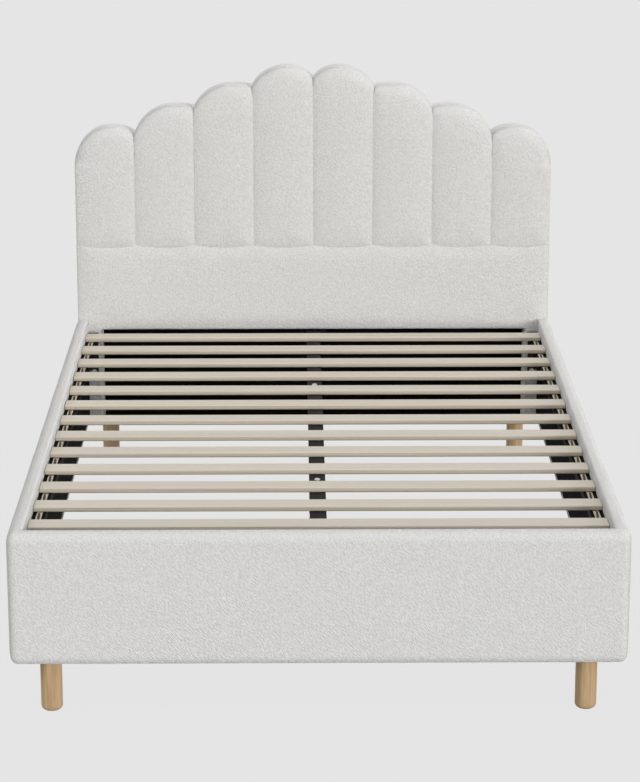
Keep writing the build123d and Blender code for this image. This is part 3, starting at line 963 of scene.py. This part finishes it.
def make_strap(side):
    """Webbing strap under the slats, slack and folded on itself between them."""
    s = sizes()
    middle = side * (STRAP_LOW.x + STRAP_HIGH.x) / 2
    width = STRAP_HIGH.x - STRAP_LOW.x
    boxes = [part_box(name) for name in SLATS]
    gaps = sorted((b[1].y, a[0].y) for a, b in zip(boxes, boxes[1:]))
    across = [width * (n / STRAP_CELLS - 0.5) for n in range(STRAP_CELLS + 1)]
    fold_lean = width * 0.16
    fold_width = width * 0.3
    rows = [STRAP_LOW.y]
    for low, high in gaps:
        rows += steps(low, high, STRAP_ROW)
    rows.append(STRAP_HIGH.y)

    def crease(offset, y):
        """How slack the strap is at a place, and how near that is to the slanting fold of its gap."""
        for low, high in gaps:
            if low < y < high:
                share = (y - low) / (high - low)
                slack = math.sin(math.pi * share) ** 0.4
                fold = fold_lean * (2 * share - 1) * side
                return slack, slack * max(0.0, 1 - abs(offset - fold) / fold_width)
        return 0.0, 0.0

    def lie(offset, y):
        slack, folded = crease(offset, y)
        z = (STRAP_LOW.z + STRAP_HIGH.z) / 2 + s.strap_rise * slack * (1 - folded)
        return Vector((middle + offset, y, z))

    bm = cloth_of_cells(across, rows, lie)
    # The fold layer is the mask for the painted shade in the strap's folds
    fold = bm.verts.layers.float.new("fold")
    for vert in bm.verts:
        vert[fold] = crease(vert.co.x - middle, vert.co.y)[1]
    bmesh.ops.solidify(bm, geom=list(bm.faces), thickness=s.strap_thickness)
    weld(bm)
    name = "slat_strap_" + ("right" if side > 0 else "left")
    return piece(bm, name + "_webbing", finish(webbing), body="slat_roll", replaces=[name])


def paint_nodes(material, names):
    """Gives CAD nodes a finish."""
    for name in names:
        mesh = NODES[name].data
        mesh.materials.clear()
        mesh.materials.append(material)


# Operators


class BED_OT_headboard_pads(bpy.types.Operator):
    """Make the eight channels and the lower cover of the headboard, and stuff them"""

    bl_idname = "bed.headboard_pads"
    bl_label = "Headboard pads"

    def execute(self, context):
        pads = [make_channel(k, side) for k in range(CHANNELS) for side in (-1, 1)]
        pads.append(make_lower_cover())
        stuff(pads)
        for pad in pads:
            add_pile(pad, 1)
        return {"FINISHED"}


class BED_OT_headboard_shell(bpy.types.Operator):
    """Make the boucle strip round the headboard's edge and the cloth over its back"""

    bl_idname = "bed.headboard_shell"
    bl_label = "Headboard edge and back"

    def execute(self, context):
        add_pile(make_edge_strip(), 1)
        make_back_cloth()
        return {"FINISHED"}


class BED_OT_rail_covers(bpy.types.Operator):
    """Make the padded covers of the side rails and the foot rail"""

    bl_idname = "bed.rail_covers"
    bl_label = "Rail covers"

    def execute(self, context):
        for cover in (make_side_cover(-1), make_side_cover(1), make_foot_cover()):
            add_pile(cover, 0)
        return {"FINISHED"}


class BED_OT_linings(bpy.types.Operator):
    """Make the black linings inside the rails and under the headboard's panel"""

    bl_idname = "bed.linings"
    bl_label = "Linings"

    def execute(self, context):
        make_lining("side_rail_lining_left", Vector((1, 0, 0)))
        make_lining("side_rail_lining_right", Vector((-1, 0, 0)))
        make_lining("foot_rail_lining", Vector((0, 1, 0)))
        make_lining("headboard_lining", Vector((0, -1, 0)))
        return {"FINISHED"}


class BED_OT_slats(bpy.types.Operator):
    """Finish the slats and make the two straps that join them"""

    bl_idname = "bed.slats"
    bl_label = "Slats and straps"

    def execute(self, context):
        paint_nodes(finish(slat_wood), SLATS)
        make_strap(-1)
        make_strap(1)
        return {"FINISHED"}


class BED_OT_legs(bpy.types.Operator):
    """Finish the four wooden legs"""

    bl_idname = "bed.legs"
    bl_label = "Legs"

    def execute(self, context):
        legs = [name for name in NODES if name.startswith(("leg_front", "leg_back"))]
        paint_nodes(finish(leg_wood), legs)
        return {"FINISHED"}


class BED_OT_timber(bpy.types.Operator):
    """Finish the boards and battens of the frame and the ledges that carry the slats"""

    bl_idname = "bed.timber"
    bl_label = "Frame timber"

    def execute(self, context):
        raw = [name for name in NODES if name.endswith("_board") or name.startswith("side_rail_board")]
        raw += ["corner_blocks", "headboard_stiles", "headboard_bottom_rail"]
        raw += ["headboard_middle_rail", "headboard_top_frame"]
        paint_nodes(finish(frame_timber), raw)
        paint_nodes(finish(black_timber), ["slat_ledge_left", "slat_ledge_right"])
        return {"FINISHED"}


class BED_OT_ironwork(bpy.types.Operator):
    """Finish the centre beam, its hangers, legs and feet, the corner brackets and all bolts"""

    bl_idname = "bed.ironwork"
    bl_label = "Beam, brackets and bolts"

    def execute(self, context):
        beam = ["centre_beam", "beam_hangers", "centre_leg_back", "centre_leg_front"]
        paint_nodes(finish(black_steel), beam)
        paint_nodes(finish(bronze_steel), ["corner_brackets"])
        paint_nodes(finish(zinc_steel), ["bracket_bolts", "centre_leg_bolts", "leg_studs"])
        paint_nodes(finish(black_plastic), ["levelling_foot_back", "levelling_foot_front"])
        return {"FINISHED"}


class BED_OT_stage(bpy.types.Operator):
    """Set the floor, the soft studio light and the camera"""

    bl_idname = "bed.stage"
    bl_label = "Stage"

    def execute(self, context):
        make_floor()
        make_light()
        make_camera()
        context.scene.view_settings.view_transform = "Standard"
        return {"FINISHED"}


def seen_directly(nodes):
    """1 for rays that see a surface from the camera, in a gloss or through glass."""
    path = nodes.add("LightPath")
    rays = ("Is Camera Ray", "Is Glossy Ray", "Is Transmission Ray")
    camera, gloss, glass = (Number(nodes, path.outputs[ray]) for ray in rays)
    return camera.math("MINIMUM", camera + gloss + glass, 1.0)


def make_floor():
    """A pale floor that is seen as the background, apart from a lit share that keeps the bed's shadow."""
    c = colours()
    half = 40.0
    lit_share = 0.07
    material = bpy.data.materials.new("pale_floor")
    material.use_nodes = True
    nodes = Nodes(material.node_tree)
    nodes.tree.nodes.clear()
    lit = nodes.value("BsdfDiffuse", {"Color": c.floor_bounce})
    plain = nodes.value("Emission", {"Color": c.floor, "Strength": 1.045})
    mixed = nodes.value("MixShader", {0: seen_directly(nodes) * (1 - lit_share), 1: lit, 2: plain})
    nodes.add("OutputMaterial", {"Surface": mixed})
    bm = bmesh.new()
    bmesh.ops.create_grid(bm, x_segments=1, y_segments=1, size=half)
    floor = mesh_object(bm, "floor", material)


def make_light():
    """An even studio: a dome, a low key from the right and a weaker fill from above on the left."""
    world = bpy.data.worlds.new("studio")
    bpy.context.scene.world = world
    world.use_nodes = True
    nodes = Nodes(world.node_tree)
    nodes.tree.nodes.clear()
    towards = nodes.value("TexCoord", output="Generated")
    side = nodes.value("SeparateXYZ", {"Vector": towards}, "X")
    level = side * 0.06 + 0.69
    soft = nodes.value("Background", {"Color": (1.0, 1.0, 1.0), "Strength": level})
    pale = nodes.value("Background", {"Color": colours().floor, "Strength": 1.0})
    mixed = nodes.value("MixShader", {0: seen_directly(nodes), 1: soft, 2: pale})
    nodes.add("OutputWorld", {"Surface": mixed})
    sun("key", towards=Vector((0.59, -0.79, 0.18)), spread=20.0, strength=1.43)
    sun("fill", towards=Vector((-0.60, -0.24, 0.76)), spread=40.0, strength=0.38)


def sun(name, towards, spread, strength):
    """A far lamp that shines from the given direction, softened by its spread in degrees."""
    data = bpy.data.lights.new(name, "SUN")
    data.angle = math.radians(spread)
    data.energy = strength
    linked(name, data).rotation_euler = towards.to_track_quat("Z", "Y").to_euler()


def make_camera():
    """The photograph's view, solved from the edges of the slats, rails and headboard."""
    data = bpy.data.cameras.new("camera")
    data.sensor_width = 36.0
    data.lens = data.sensor_width * FOCAL_PIXELS / PICTURE_HEIGHT
    data.clip_end = 200.0
    made = linked("camera", data)
    made.location = CAMERA_PLACE
    made.rotation_euler = Euler((math.radians(90 - LOOK_DOWN), 0.0, math.radians(-LOOK_RIGHT)))
    bpy.context.scene.camera = made


OPERATORS = (
    BED_OT_stage,
    BED_OT_headboard_pads,
    BED_OT_headboard_shell,
    BED_OT_rail_covers,
    BED_OT_linings,
    BED_OT_slats,
    BED_OT_legs,
    BED_OT_timber,
    BED_OT_ironwork,
)


class BED_PT_bed(bpy.types.Panel):
    """Lists the bed's pieces with their sizes and colours"""

    bl_idname = "BED_PT_bed"
    bl_label = "Upholstered bed"
    bl_space_type = "VIEW_3D"
    bl_region_type = "UI"
    bl_category = "Bed"

    def draw(self, context):
        for operator in OPERATORS:
            self.layout.operator(operator.bl_idname)
        for group in (context.scene.bed_sizes, context.scene.bed_colours):
            box = self.layout.box()
            for name in group.__annotations__:
                box.prop(group, name)


CLASSES = (BedSizes, BedColours, *OPERATORS, BED_PT_bed)


def register():
    for made in CLASSES:
        bpy.utils.register_class(made)
    bpy.types.Scene.bed_sizes = PointerProperty(type=BedSizes)
    bpy.types.Scene.bed_colours = PointerProperty(type=BedColours)


def unregister():
    del bpy.types.Scene.bed_colours
    del bpy.types.Scene.bed_sizes
    for made in reversed(CLASSES):
        bpy.utils.unregister_class(made)


def main():
    register()
    bpy.ops.bed.stage()
    bpy.ops.bed.headboard_pads()
    bpy.ops.bed.headboard_shell()
    bpy.ops.bed.rail_covers()
    bpy.ops.bed.linings()
    bpy.ops.bed.slats()
    bpy.ops.bed.legs()
    bpy.ops.bed.timber()
    bpy.ops.bed.ironwork()


if __name__ == "__main__":
    main()
